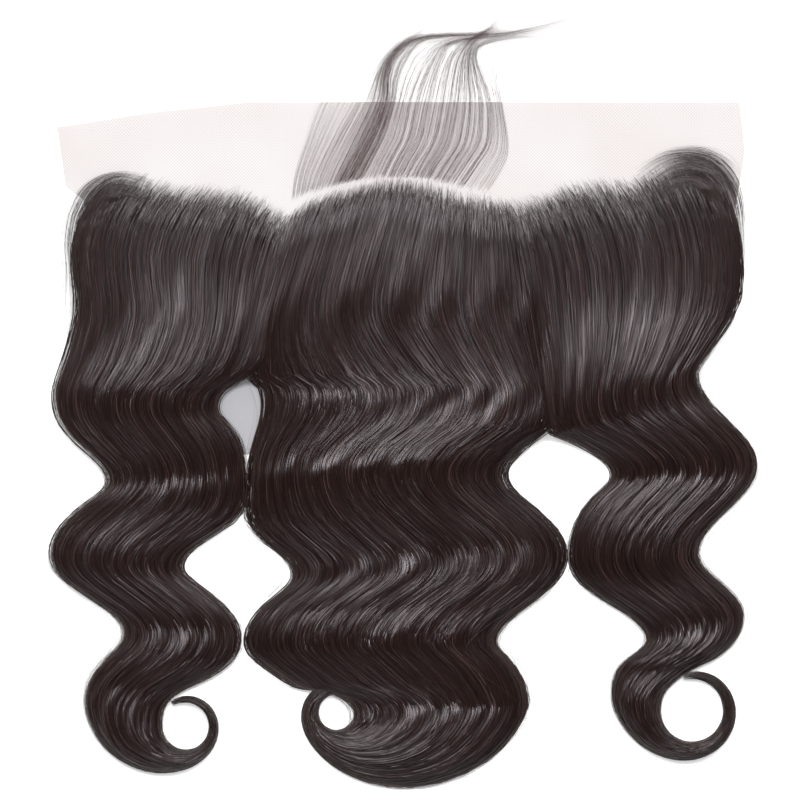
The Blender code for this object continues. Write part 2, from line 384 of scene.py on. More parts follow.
def on_lock(lock, across, along, ahead=0):
    """Points in mm on a lock's top, across it from 0 to 1 and along it in frames, and the
    heights of its underside there. Ahead shifts the heights, in frames."""
    index = np.arange(len(lock.frames))
    # The waves turn at every second section: hair lingers there and crosses fast between
    waved = np.clip(along / FRAMES_A_SECTION - WAVES_START, 0, 1)
    waved = waved * (along < WAVES_END * FRAMES_A_SECTION)
    turning = along - ROUNDNESS * waved * np.sin(math.pi * along / FRAMES_A_SECTION)
    left_x, right_x, sway = (np.interp(turning, index, lock.frames[:, k]) for k in (0, 2, 4))
    left_y, right_y = (np.interp(along, index, lock.frames[:, k]) for k in (1, 3))
    inside = np.clip(across, 0, 1)
    swung = sway * np.sin(math.pi * inside) ** SWAY_POWER
    x = left_x + (right_x - left_x) * across + swung
    y = left_y + (right_y - left_y) * across
    fade = np.clip(1 - along / ROOT_FRAMES, 0, 1) ** 2
    shares = np.linspace(0, 1, len(lock.hairline))
    y = y + fade * np.interp(inside, shares, lock.hairline)
    swell = [np.interp(along + ahead, index, lock.frames[:, k]) for k in (5, 6, 7)]
    leftward = np.clip((0.5 - across) / SWELL_APART, 0, 1)
    rightward = np.clip((across - 0.5) / SWELL_APART, 0, 1)
    height = swell[1] + leftward * (swell[0] - swell[1]) + rightward * (swell[2] - swell[1])
    left_full, right_full = (JOINED_MARGIN * full for full in joined(lock, along))
    shoulder = left_full + across * (1 - left_full - right_full)
    crown = np.sin(math.pi * np.clip(shoulder, 0, 1)) ** CROWN_POWER
    low = underside(x, y)
    rise = EDGE_HEIGHT + (height - EDGE_HEIGHT) * crown
    rise = rise + TOUSLED * tousle(lock, across, along) * crown
    return np.stack([x, y, low + np.maximum(rise, LEAST_HEIGHT)], axis=-1), low


# Streaks in the hair's colour are a fifth of a mm wide and 25 mm long
STREAKS_IN_A_MM = (5, 0.04, 1)


def hair_finish(name, darkest, usual, palest, roughness):
    """Dark hair: streaks along each strand, and a sheen that spreads across the strands."""
    made, shader = start_material(name)
    place = add_node(made, "UVMap")
    place.uv_map = "combed"
    stretched = add_node(made, "Mapping", Vector=place.outputs["UV"], Scale=STREAKS_IN_A_MM)
    noise = add_node(made, "TexNoise", Scale=1, Detail=4)
    noise.noise_dimensions = "2D"
    feed(noise, Vector=stretched.outputs["Vector"])
    streaks = noise.outputs["Fac"]
    tone = add_node(made, "Attribute")
    tone.attribute_name = "tone"
    mixed = add_node(made, "Math")
    mixed.operation = "MULTIPLY_ADD"
    mixed.inputs[1].default_value = 0.5
    made.node_tree.links.new(streaks, mixed.inputs[0])
    made.node_tree.links.new(tone.outputs["Fac"], mixed.inputs[2])
    colour = add_node(made, "ValToRGB", Fac=mixed.outputs["Value"])
    colour.color_ramp.elements[0].position = 0.2
    colour.color_ramp.elements[0].color = (*darkest, 1)
    middle = colour.color_ramp.elements.new(0.75)
    middle.color = (*usual, 1)
    colour.color_ramp.elements[-1].position = 1
    colour.color_ramp.elements[-1].color = (*palest, 1)
    rough = add_node(
        made, "MapRange", Value=streaks, To_Min=roughness - 0.08, To_Max=roughness + 0.1
    )
    grain = add_node(made, "Bump", Height=streaks, Strength=0.7, Distance=0.08 * MM)
    across = add_node(made, "Tangent")
    across.direction_type = "UV_MAP"
    across.uv_map = "combed"
    feed(
        shader, Base_Color=colour.outputs["Color"], Roughness=rough.outputs["Result"],
        Normal=grain.outputs["Normal"], Tangent=across.outputs["Tangent"], IOR=1.55,
        Anisotropic=0.75, Specular_Tint=(1, 0.92, 0.97, 1),
    )
    return made


def comb_over(piece, quads, across_mm, along_mm, tone):
    """Gives a piece its combed UV map, in mm across and along the hair, and its tone."""
    corners = quads.ravel()
    uv = np.stack([across_mm[corners], along_mm[corners]], axis=1).astype(np.float32)
    piece.data.uv_layers.new(name="combed").data.foreach_set("uv", uv.ravel())
    layer = piece.data.attributes.new("tone", "FLOAT", "POINT")
    layer.data.foreach_set("value", tone.astype(np.float32))


# The body's points across it, and the frames from one of its rings to the next
BODY_ACROSS = 41
BODY_STEP = 4
# It ends short of the strands' tips, keeps in from the edges, and lies under the strands
BODY_END = 0.96
BODY_MARGIN = 0.022
BODY_SINK, BODY_LEAST = 1.2, 0.12
# It starts some frames behind where the hair is full. Over these numbers of frames its
# start straightens out, it grows to its height, and it closes again at its end.
BODY_BEHIND = 0.8
BODY_SETTLES, BODY_GROWS, BODY_CLOSES = 60, 12, 20
# A lock's width and a frame's length, roughly, which give the streaks on it their scale
LOCK_WIDTH, FRAME_LENGTH = 80, 1.8
BODY_TONE = 0.2
THIN_PROBE = 3


def full_from(lock, across):
    """How many frames behind the hairline a lock's hair is full."""
    first, behind = (
        on_lock(lock, across, np.full_like(across, at))[0][..., 1] for at in (0, THIN_PROBE)
    )
    return THIN_PROBE * lock.thin / (first - behind)


def lock_body(name, lock, finish):
    """The closed mass of packed hair under a lock's outer strands."""
    gone = np.arange(0, BODY_END * len(lock.frames), BODY_STEP, dtype=float)[:, None]
    across = np.linspace(BODY_MARGIN, 1 - BODY_MARGIN, BODY_ACROSS)
    along = (full_from(lock, across) + BODY_BEHIND) * np.exp(-gone / BODY_SETTLES) + gone
    top, low = on_lock(lock, np.broadcast_to(across, along.shape), along)
    under = top.copy()
    under[:, :, 2] = low
    grown = np.clip(gone / BODY_GROWS, 0, 1) ** 0.6
    grown = grown * np.clip((gone[-1] - gone) / BODY_CLOSES, 0, 1) ** 0.5
    top[:, :, 2] = low + np.maximum((top[:, :, 2] - BODY_SINK - low) * grown, BODY_LEAST)
    rings = np.concatenate([top, under[:, ::-1]], axis=1)
    rows, around = rings.shape[:2]
    first = np.arange(rows - 1)[:, None] * around
    here, there = np.arange(around), (np.arange(around) + 1) % around
    beyond = first + around
    sides = np.stack([first + here, first + there, beyond + there, beyond + here], axis=2)
    pairs = np.arange(BODY_ACROSS - 1)
    cap = np.stack([pairs, around - 1 - pairs, around - 2 - pairs, pairs + 1], axis=1)
    quads = np.concatenate([sides.reshape(-1, 4), cap, cap[:, ::-1] + (rows - 1) * around])
    piece = add_mesh(name, rings.reshape(-1, 3) * MM, quads[:, ::-1], finish)
    across_mm = np.tile(np.concatenate([across, across[::-1]]) * LOCK_WIDTH, rows)
    along_mm = np.repeat(gone[:, 0] * FRAME_LENGTH, around)
    comb_over(piece, quads[:, ::-1], across_mm, along_mm, np.full(rows * around, BODY_TONE))
    return piece


def unit(vectors):
    """Vectors made one long."""
    return vectors / np.maximum(np.linalg.norm(vectors, axis=-1, keepdims=True), 1e-12)


# How far apart strands lie in the streaks' pattern, so that each has streaks of its own
OWN_ACROSS, OWN_ALONG = 3.7, 11


def add_strands(name, points, normals, widths, tone, finish):
    """Flat tapering strands: points and normals by strand and step, and widths in mm."""
    count, steps = widths.shape
    heading = unit(np.gradient(points, axis=1))
    side = unit(np.cross(normals, heading)) * (widths / 2)[:, :, None]
    edges = np.stack([points + side, points - side], axis=2).reshape(-1, 3)
    first = (np.arange(count)[:, None] * steps + np.arange(steps - 1)).ravel() * 2
    quads = np.stack([first, first + 1, first + 3, first + 2], axis=1)
    piece = add_mesh(name, edges * MM, quads, finish)
    between = np.linalg.norm(np.diff(points, axis=1, prepend=points[:, :1]), axis=2)
    gone = np.cumsum(between, axis=1) + np.arange(count)[:, None] * OWN_ALONG
    own = np.arange(count)[:, None, None] * OWN_ACROSS
    across_mm = own + np.stack([-widths / 2, widths / 2], axis=2)
    along_mm = np.repeat(gone[:, :, None], 2, axis=2)
    comb_over(piece, quads, across_mm.ravel(), along_mm.ravel(), np.repeat(tone, steps * 2))
    return piece


def lie_of(lock, across, along, ahead=0):
    """Points on a lock with the way that its surface faces there."""
    aside = 0.004
    points, _ = on_lock(lock, across, along, ahead)
    right, _ = on_lock(lock, across + aside, along, ahead)
    left, _ = on_lock(lock, across - aside, along, ahead)
    facing = unit(np.cross(right - left, -np.gradient(points, axis=1)))
    facing *= np.where(facing[:, :, 2:] < 0, -1, 1)
    return points, facing


def roll(facing, heading, angle):
    """Turns the way that strands face about the way that they run."""
    aside = np.cross(heading, facing)
    return facing * np.cos(angle) + aside * np.sin(angle)


def even_shares(rng, count):
    """Shares from 0 to 1, spread evenly and shuffled."""
    return rng.permutation((np.arange(count) + rng.random(count)) / count)


FULL_TURN = 6.3


def swing(rng, along, lengths, count):
    """A wave along each hair, with a length between these and a start of its own."""
    length = rng.uniform(*lengths, count)[:, None]
    return np.sin(along / length + rng.uniform(0, FULL_TURN, count)[:, None])


def tapered(share, root, tip):
    """How wide a hair is along it: at each end, how fast it widens and from what share."""
    return np.clip(share * root[0], root[1], 1) * np.clip((1 - share) * tip[0], tip[1], 1)


def toned(rng, usual, spread, palest, count):
    """How pale each hair is, from 0 to palest."""
    return np.clip(usual + rng.normal(0, spread, count), 0, palest)


STRANDS = 1090
STRAND_WIDTHS = (0.2, 0.4)
CLUMPS = 90
# A strand's points lie closest at its root, and where its lock turns or climbs
STRAND_STEPS = 80
ROOT_SHARES, REST_FROM = [0, 0.003, 0.007], 0.012
CLIMBS_COUNT = 2
STRAIGHT_COUNTS = 0.025
FAN_FRAMES = 6
# How many frames a strand takes to rise from its root
ROOT_CLIMB = 1.5
# How far clumps drift across a lock, as shares of it, and over how many frames
CLUMP_DRIFTS = [(0.006, 30), (0.003, 11)]
STRAY, STRAY_FRAMES = 0.012, (14, 40)
STRAND_MARGIN = 0.008
# How far in mm clumps and strands lie off the lock's surface, and their ripple's frames
CLUMP_LIFT, STRAND_LIFT, MOST_LIFT = 0.12, 0.5, 0.7
RIPPLE, RIPPLE_FRAMES = 0.15, (2.2, 3.4)
STRAND_SINK = 0.3
# How far in degrees clumps and strands roll about their length
CLUMP_ROLL, STRAND_ROLL = 4, 14


def turned(lock):
    """How far a lock's middle has turned by each frame, with a little for its length."""
    index = np.arange(len(lock.frames), dtype=float)
    middle, _ = on_lock(lock, np.full_like(index, 0.5), index)
    middle[:, 2] = lock.frames[:, 6] * CLIMBS_COUNT
    way = unit(np.gradient(middle, axis=0))
    bent = np.linalg.norm(np.gradient(way, axis=0), axis=1)
    return np.cumsum(bent + STRAIGHT_COUNTS)


def fanned(lock, root, along):
    """How far across its lock a hair lies from where it falls to, as it leaves its root."""
    return (lock.fan[0] * (1 - root) + lock.fan[1] * root) * np.exp(-along / FAN_FRAMES)


def comb_lock(name, lock, count, seed, finish):
    """The outer strands of a lock, lying over its body in clumps."""
    rng = np.random.default_rng(seed)
    root = even_shares(rng, count)
    clump = np.minimum((root * CLUMPS).astype(int), CLUMPS - 1)
    last = len(lock.frames) - 1
    begin = full_from(lock, root) * rng.random(count) ** 0.4
    end = last * (1 - 0.1 * rng.random(count) ** 1.5)
    rest = np.linspace(REST_FROM, 1, STRAND_STEPS - len(ROOT_SHARES))
    share = np.concatenate([ROOT_SHARES, rest])[None]
    turns, index = turned(lock), np.arange(last + 1)
    turned_by = [np.interp(at, index, turns)[:, None] for at in (begin, end)]
    along = np.interp(turned_by[0] + (turned_by[1] - turned_by[0]) * share, turns, index)
    sway = rng.uniform(0, 2 * math.pi, (2, CLUMPS))[:, clump, None]
    drift = sum(
        far * np.sin(along / length + start)
        for (far, length), start in zip(CLUMP_DRIFTS, sway)
    )
    stray = rng.normal(0, STRAY, count)[:, None] * swing(rng, along, STRAY_FRAMES, count)
    left_lap, right_lap = (JOINED_LAP * full for full in joined(lock, along))
    across = root[:, None] + drift + 0.7 * stray
    across = np.clip(across, -STRAND_MARGIN, 1 + STRAND_MARGIN)
    across = across + fanned(lock, root[:, None], along)
    across = across * (1 + left_lap + right_lap) - left_lap
    ahead = (rng.normal(0, 1, CLUMPS)[clump] + rng.normal(0, 1.7, count))[:, None]
    points, facing = lie_of(lock, across, along, ahead)
    lift = rng.normal(0, CLUMP_LIFT, CLUMPS)[clump]
    lift = lift + rng.uniform(-STRAND_LIFT, STRAND_LIFT, count)
    lift = np.clip(lift, -MOST_LIFT, MOST_LIFT)[:, None]
    lift = lift + RIPPLE * swing(rng, along, RIPPLE_FRAMES, count)
    # Near the roots the strands lie together
    lift = lift * np.clip(along / 14, 0.1, 1) - STRAND_SINK
    points = points + facing * lift[:, :, None]
    low = underside(points[:, :, 0], points[:, :, 1]) + 0.2
    out = np.clip((along - begin[:, None]) / ROOT_CLIMB, 0, 1)
    points[:, :, 2] = low + np.maximum(points[:, :, 2] - low, 0) * out**0.8
    angle = rng.normal(0, CLUMP_ROLL, CLUMPS)[clump] + rng.normal(0, STRAND_ROLL, count)
    heading = unit(np.gradient(points, axis=1))
    facing = roll(facing, heading, np.radians(angle)[:, None, None])
    taper = tapered(share, (50, 0.3), (7, 0.15))
    widths = rng.uniform(*STRAND_WIDTHS, count)[:, None] * taper
    usual = 0.22 + rng.normal(0, 0.04, CLUMPS)[clump]
    tone = toned(rng, usual, 0.2, 0.8, count)
    return add_strands(name, points, facing, widths, tone, finish)


# Each hair colour at its darkest, its usual and its palest, and then its roughness
DARK_HAIR = (0.011, 0.005, 0.004), (0.027, 0.0125, 0.0105), (0.085, 0.05, 0.044), 0.3
# The lock bodies' hair is coloured far darker than the strands: painted shade in the depths
# between the outer strands
PACKED_HAIR_SHADED = (0.003, 0.002, 0.0017), (0.006, 0.004, 0.0034), (0.01, 0.007, 0.006), 0.55

hair_dark = hair_finish("dark_hair", *DARK_HAIR)
hair_depth_shaded = hair_finish("packed_hair_shaded", *PACKED_HAIR_SHADED)

left_lock = Lock(
    lay_out(LEFT_SECTIONS, LEFT_SWELL, LEFT_CURL), hairline=LEFT_HAIRLINE,
    fan=(0.12, 0.07), joined=(0, 3.6), thin=12, seed=11,
)
left_body = lock_body("left_hair_body", left_lock, hair_depth_shaded)
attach(left_body, "root")
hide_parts("left_lock")
left_strands = comb_lock("left_hair_strands", left_lock, STRANDS, 21, hair_dark)
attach(left_strands, "root")


# The centre lock: the widest fall of hair, from the arch of the hairline. It is made as
# the left lock is, and its ends roll up clockwise under a broad rounded turn.

CENTRE_SECTIONS = [
    Section(-52.5, 32.5, 56.5, 28.5, 0),
    Section(-57.5, 6, 60, 6, -9),
    Section(-64.5, -20.5, 63, -20.5, -10.5),
    Section(-69.5, -46, 66, -43.5, 4),
    Section(-66, -62, 68.5, -62.5, 7),
    Section(-70.5, -81.5, 60.5, -82, -2),
    Section(-73.5, -99.5, 50.5, -97, -1),
    Section(-71.5, -122.5, 66.5, -114, 5),
    Section(-52, -141.5, 79, -135, 5),
    Section(-64, -157, 66, -155, 0),
    Section(-74.5, -174, 47, -172.5, 1.5),
    Section(-68, -186.5, 51.5, -183, 3),
    Section(-51.5, -197.5, 58.3, -193, 2),
    Section(-34, -200.5, 60.8, -202, 0),
]
CENTRE_HAIRLINE = [0.3, 6.5, 10, 13.5, 16.3, 17, 15.6, 12.6, 10, 9.4, 7.5]
CENTRE_SWELL = [
    Swell(0, 0.8, 0.8, 0.8),
    Swell(0.3, 1.6, 1.6, 1.6),
    Swell(0.6, 2.4, 2.5, 2.4),
    Swell(1.15, 3.7, 4.8, 3.8),
    Swell(1.6, 5, 6.6, 6),
    Swell(2.4, 6.2, 6.9, 7.3),
    Swell(3, 6.1, 6.5, 7.3),
    Swell(3.3, 6.1, 6.5, 7.8),
    Swell(3.7, 6.3, 7, 8.4),
    Swell(4.05, 8.4, 7.5, 9.2),
    Swell(4.5, 7.7, 8.2, 10.1),
    Swell(5.3, 7.4, 10, 11.8),
    Swell(5.8, 8.8, 11.5, 12.6),
    Swell(6.2, 10.2, 11.6, 12.1),
    Swell(6.65, 9.6, 10.3, 10.4),
    Swell(7.75, 8.7, 8.6, 8.6),
    Swell(8.45, 10.5, 10.5, 10.8),
    Swell(8.65, 10.6, 10.6, 10.9),
    Swell(9.25, 9.4, 9.4, 9.2),
    Swell(9.95, 11.5, 11.5, 11.7),
    Swell(10.9, 10, 10, 10.2),
    Swell(12.2, 8.4, 8.4, 8.6),
    Swell(13.75, 7.8, 7.5, 7.4),
    Swell(14.6, 9.8, 10.1, 9.9),
    Swell(15.2, 9.9, 9.2, 8.4),
    Swell(16, 9.8, 8.2, 6.8),
    Swell(17, 9.8, 7.8, 6.2),
    Swell(19, 8.6, 7, 5.6),
    Swell(22, 6, 5.5, 5),
    Swell(24.3, 3.5, 3.5, 3.5),
]
CENTRE_CURL = Curl(
    x=-31, y=-210, hole=8.8, start=91.5, ring=17, tip=13.5, spread=54, power=1.4,
    turn=-1, sweep=275,
)

centre_lock = Lock(
    lay_out(CENTRE_SECTIONS, CENTRE_SWELL, CENTRE_CURL), hairline=CENTRE_HAIRLINE,
    fan=(0.05, -0.05), joined=(3.4, 4.9), thin=11.5, seed=12,
)
centre_body = lock_body("centre_hair_body", centre_lock, hair_depth_shaded)
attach(centre_body, "root")
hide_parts("centre_lock")
for layer, seed in (("lower", 31), ("upper", 32)):
    centre_strands = comb_lock(f"centre_hair_{layer}", centre_lock, STRANDS, seed, hair_dark)
    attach(centre_strands, "root")


# The right lock: the fall of hair from the right ear. Like the left lock, it rolls up
# anticlockwise at its ends, round a wider eye.

RIGHT_SECTIONS = [
    Section(58, 28.5, 159, 42.5, 0),
    Section(61.5, 6, 164, 17, 5),
    Section(65, -20.5, 162.5, -13.5, 4),
    Section(69, -44.5, 149, -36, 3),
    Section(73, -71.5, 143, -52, 0.5),
    Section(86, -82.5, 160.5, -73, 0),
    Section(100.5, -95.5, 171, -91.5, 0),
    Section(89, -109.5, 159.5, -110.5, 0),
    Section(80.5, -134.5, 142.5, -132, 0),
    Section(92, -153, 154.5, -149, 0),
    Section(117, -171.5, 164, -165, 0),
    Section(109.5, -183.5, 153.5, -182, 0),
    Section(103, -191, 140, -189, 0),
    Section(101, -200.5, 127.5, -198.5, 0),
]
RIGHT_HAIRLINE = [9, 10.8, 13.2, 14.6, 12.4, 11.6, 14.6, 15.8, 15, 11.6, 2.5]
RIGHT_SWELL = [
    Swell(0, 0.8, 0.8, 0.8),
    Swell(0.3, 1.6, 1.6, 1.6),
    Swell(1.2, 3.3, 3.3, 3.3),
    Swell(1.75, 4.2, 4.4, 5),
    Swell(2.2, 5.5, 5.9, 6.3),
    Swell(3.3, 9.5, 9.5, 9.4),
    Swell(3.6, 10.2, 10, 10.1),
    Swell(4.6, 9.2, 9, 9),
    Swell(5.15, 9.7, 9.4, 9.3),
    Swell(6.25, 7.7, 7.7, 7.7),
    Swell(7.05, 10, 10, 10.2),
    Swell(7.4, 10, 9.9, 9.9),
    Swell(7.9, 11.2, 11, 11.2),
    Swell(8.8, 8.8, 8.8, 8.8),
    Swell(9.2, 9.2, 8.9, 8.9),
    Swell(10.05, 8, 8, 8),
    Swell(10.95, 10.8, 10.8, 11),
    Swell(11.8, 8.8, 8.8, 8.8),
    Swell(12.2, 8.9, 8.7, 8.6),
    Swell(13.5, 11, 11, 10.5),
    Swell(14.3, 10.6, 10.8, 10.8),
    Swell(15.5, 9.2, 9.4, 9.4),
    Swell(18, 8.2, 8.2, 8.2),
    Swell(21, 6, 6, 6),
    Swell(24.9, 3.5, 3.5, 3.5),
]
RIGHT_CURL = Curl(
    x=139.5, y=-209, hole=15.3, start=37, ring=21.3, tip=17.9, spread=51, power=1.1,
    turn=1, sweep=290,
)

right_lock = Lock(
    lay_out(RIGHT_SECTIONS, RIGHT_SWELL, RIGHT_CURL), hairline=RIGHT_HAIRLINE,
    fan=(-0.09, -0.1), joined=(4.6, 0), thin=13, seed=13,
)
right_body = lock_body("right_hair_body", right_lock, hair_depth_shaded)
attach(right_body, "root")
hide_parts("right_lock")
right_strands = comb_lock("right_hair_strands", right_lock, STRANDS, 41, hair_dark)
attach(right_strands, "root")


# The hairline: single hairs knotted thinly into the lace's front rows, so that the net
# shows between their roots before the hair closes over it.

HAIRLINE_STEPS = 6
# Some stand for hairs packed so close, just before a lock's body, that they hide the net
PACKED_SHARE = 0.3
PACKED_FRAMES, SINGLE_FRAMES = (3.5, 6), (1.5, 4)
PACKED_WIDTHS, SINGLE_WIDTHS = (0.2, 0.36), (0.06, 0.12)


def hairline_roots(name, lock, count, seed):
    """Fine hairs from the knots along a lock's hairline, falling away into the lock."""
    rng = np.random.default_rng(seed)
    root = rng.random(count)
    share = np.linspace(0, 1, HAIRLINE_STEPS)[None]
    packed = rng.random(count) < PACKED_SHARE
    packed_behind = 0.4 + 0.65 * rng.random(count) ** 0.6
    behind = np.where(packed, packed_behind, rng.random(count) ** 0.65)
    begin = (full_from(lock, root) * behind)[:, None]
    packed_length = rng.uniform(*PACKED_FRAMES, count)
    length = np.where(packed, packed_length, rng.uniform(*SINGLE_FRAMES, count))
    along = begin + length[:, None] * share
    spread = rng.normal(0, 0.012, count)[:, None] * (share - 0.5)
    across = root[:, None] + fanned(lock, root[:, None], along) + spread
    points, facing = lie_of(lock, across, along)
    points[:, :, 1] += rng.uniform(-1, 2.6, count)[:, None] * (1 - share) ** 2
    # A single hair stands off the net in a low arch, and a packed one lies close
    stand = 0.2 + 0.4 * np.sin(2.4 * share) * rng.random(count)[:, None] * (~packed[:, None])
    points[:, :, 2] = underside(points[:, :, 0], points[:, :, 1]) + stand
    packed_width = rng.uniform(*PACKED_WIDTHS, count)
    width = np.where(packed, packed_width, rng.uniform(*SINGLE_WIDTHS, count))
    widths = width[:, None] * np.clip(0.3 + 2 * share, 0, 1)
    tone = np.where(packed, 0, toned(rng, 0.22, 0.15, 0.8, count))
    return add_strands(name, points, facing, widths, tone, hair_dark)


for name, lock, count, seed in (
    ("left_hairline", left_lock, 2400, 51),
    ("centre_hairline", centre_lock, 2800, 52),
    ("right_hairline", right_lock, 2400, 53),
):
    roots = hairline_roots(name, lock, count, seed)
    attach(roots, "root")


# The swept edges: at both ends of the hairline the outermost hair is combed outwards over
# the corner of the lace, and falls down the sides in thin loose strands.

# Where a guide hair passes: its root, over the corner in three steps, and down the side
Sweep = namedtuple("Sweep", "root rise over turn side fall low lower end")
LEFT_SWEEPS = [
    Sweep((-116, 46.5), (-134, 50), (-150, 45.5), (-160, 32), (-163, 15.5), (-162, 0),
          (-162.5, -20), (-165, -42), (-168, -60)),
    Sweep((-118, 44), (-135, 48), (-147, 42), (-154, 30), (-157, 16), (-157, 2),
          (-157.5, -14), (-161, -34), (-165, -52)),
    Sweep((-124, 40), (-136, 43), (-144, 36), (-148, 26), (-151, 13), (-152, 0),
          (-152, -15), (-155, -32), (-158, -50)),
    Sweep((-120.5, 33.6), (-130, 37.9), (-135.8, 37), (-139.7, 33.1), (-142.1, 26.4),
          (-143.5, 16.8), (-144, 6.2), (-144, -4.8), (-143.5, -16.8)),
]
RIGHT_SWEEPS = [
    Sweep((120.5, 59), (130, 61.4), (141.6, 62.4), (150.2, 61), (157, 58), (161.3, 53.8),
          (164.2, 49), (165.6, 40.8), (166, 28.8)),
    Sweep((110.9, 48), (126.2, 57.1), (142.6, 58.1), (151.7, 54.2), (158.4, 46.1),
          (162.7, 36), (164.2, 21.6), (164.6, 6.2), (164.2, -9.6)),
    Sweep((117.1, 43.2), (128.2, 51.4), (138.7, 54.2), (147.4, 52.3), (153.6, 47),
          (157.9, 39.8), (160.8, 30.2), (162.7, 19.2), (163.7, 6.2)),
    Sweep((121.9, 39.8), (131.5, 46.6), (139.7, 48), (146.4, 44.6), (151.2, 38.4),
          (154.6, 30.2), (157, 20.6), (158.9, 9.6), (160.3, -2.4)),
    Sweep((124.3, 36), (133.4, 41.8), (140.2, 42.7), (145, 39.4), (148.3, 34.1),
          (150.7, 26.4), (152.6, 16.8), (154.6, 6.2), (156.5, -6.2)),
]
SWEEP_STEPS = 22
SWEPT_WIDTHS = (0.06, 0.12)
SWEPT_LIFTS = (0.1, 0.9)
LOOSE_HAIR = (0.02, 0.013, 0.011), (0.06, 0.04, 0.034), (0.17, 0.12, 0.1), 0.42
# A loose hair lies on a lock where a point of the lock's top is no further off than this
ON_A_LOCK = 2

loose_finish = hair_finish("loose_hair", *LOOSE_HAIR)

# The tops of all three locks, with a tree that finds the nearest point of them
surface = []
for lock in (left_lock, centre_lock, right_lock):
    frames_apart = np.arange(2, len(lock.frames), 3, dtype=float)
    laid, _ = on_lock(lock, *np.meshgrid(np.linspace(0, 1, 41), frames_apart))
    surface.append(laid.reshape(-1, 3))
surface = np.concatenate(surface)
nearest = KDTree(len(surface))
for number, (x, y, z) in enumerate(surface):
    nearest.insert((x, y, 0), number)
nearest.balance()


def resting(flat):
    """How high a loose hair lies at each point along it, on the hair, net or table."""
    height = underside(flat[:, :, 0], flat[:, :, 1])
    for strand, line in enumerate(flat):
        for step, (x, y) in enumerate(line):
            _, number, apart = nearest.find((x, y, 0))
            if apart < ON_A_LOCK:
                height[strand, step] = surface[number, 2]
    eased = np.pad(height, ((0, 0), (2, 2)), "edge")
    eased = eased[:, :-4] + eased[:, 1:-3] + eased[:, 2:-2] + eased[:, 3:-1] + eased[:, 4:]
    return eased / 5


def smooth_through(guides, steps):
    """Points at even shares along smooth curves through rows of guide points."""
    padded = np.concatenate([guides[:, :1], guides, guides[:, -1:]], axis=1)
    at = np.linspace(0, guides.shape[1] - 1 - 1e-6, steps)
    i, t = at.astype(int), (at - at.astype(int))[None, :, None]
    return curve_between(*(padded[:, i + k] for k in range(4)), t)


def between_guides(curves, place):
    """Lines among guide curves, each at its own place, which is counted in guides."""
    i = np.clip(place.astype(int), 0, len(curves) - 2)
    t = (place - i)[:, :, None]
    step = np.arange(curves.shape[1])[None]
    return curves[i, step] * (1 - t) + curves[i + 1, step] * t


def cut_short(lines, kept, steps):
    """Each line cut at its own share of its length, and laid out again in even steps."""
    at = np.linspace(0, 1, lines.shape[1])
    want = kept[:, None] * np.linspace(0, 1, steps)[None]
    cut = [
        [np.interp(places, at, line[:, k]) for k in range(lines.shape[2])]
        for places, line in zip(want, lines)
    ]
    return np.stack(cut).transpose(0, 2, 1)


def lay_loose(name, flat, height, widths, tone, tilt, finish):
    """Loose hairs laid along flat lines at their heights, and tilted about their length."""
    points = np.concatenate([flat, height[:, :, None]], axis=2)
    facing = np.zeros_like(points)
    facing[:, :, 2] = 1
    facing = roll(facing, unit(np.gradient(points, axis=1)), tilt[:, None, None])
    return add_strands(name, points, facing, widths, tone, finish)


def swept_hairs(name, sweeps, count, seed):
    """Hairs between the guides of one side, closest together at the innermost."""
    rng = np.random.default_rng(seed)
    curves = smooth_through(np.array(sweeps, float), 3 * SWEEP_STEPS)
    place = (len(sweeps) - 1) * rng.random(count)[:, None] ** 0.5 - 0.05
    lines = between_guides(curves, place)
    share = np.linspace(0, 1, 3 * SWEEP_STEPS)[None]
    phase = rng.uniform(0, FULL_TURN, (2, count, 1))
    pace = rng.uniform(2, 5, (2, count, 1))
    for k in range(2):
        lines[:, :, k] += rng.normal(0, 0.7, (count, 1)) * np.sin(share * pace[k] + phase[k])
    begin = 0.22 * rng.random(count)
    lines = cut_short(lines[:, ::-1], 1 - begin, 3 * SWEEP_STEPS)[:, ::-1]
    flat = cut_short(lines, rng.uniform(0.45, 1, count), SWEEP_STEPS)
    taper = tapered(np.linspace(0, 1, SWEEP_STEPS)[None], (6, 0.4), (3, 0.25))
    widths = rng.uniform(*SWEPT_WIDTHS, count)[:, None] * taper
    tone = toned(rng, 0.2, 0.15, 0.8, count)
    height = resting(flat) + rng.uniform(*SWEPT_LIFTS, count)[:, None]
    tilt = np.radians(rng.normal(0, 25, count))
    return lay_loose(name, flat, height, widths, tone, tilt, loose_finish)


for name, sweeps, count, seed in (
    ("left_swept_hair", LEFT_SWEEPS, 480, 71),
    ("right_swept_hair", RIGHT_SWEEPS, 560, 72),
):
    swept = swept_hairs(name, sweeps, count, seed)
    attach(swept, "root")


# Loose hairs: a few in every lock work free of it, stand off its edges as a faint fringe,
# and cross the combed surface at odd angles.

LOOSE_STEPS = 26
LOOSE_WIDTHS = (0.05, 0.11)
LOOSE_LIFTS = (0.3, 0.9)
# The share of them that starts at an edge, and how far they stray over it
EDGE_SHARE = 0.75
OVER_EDGE = 0.05


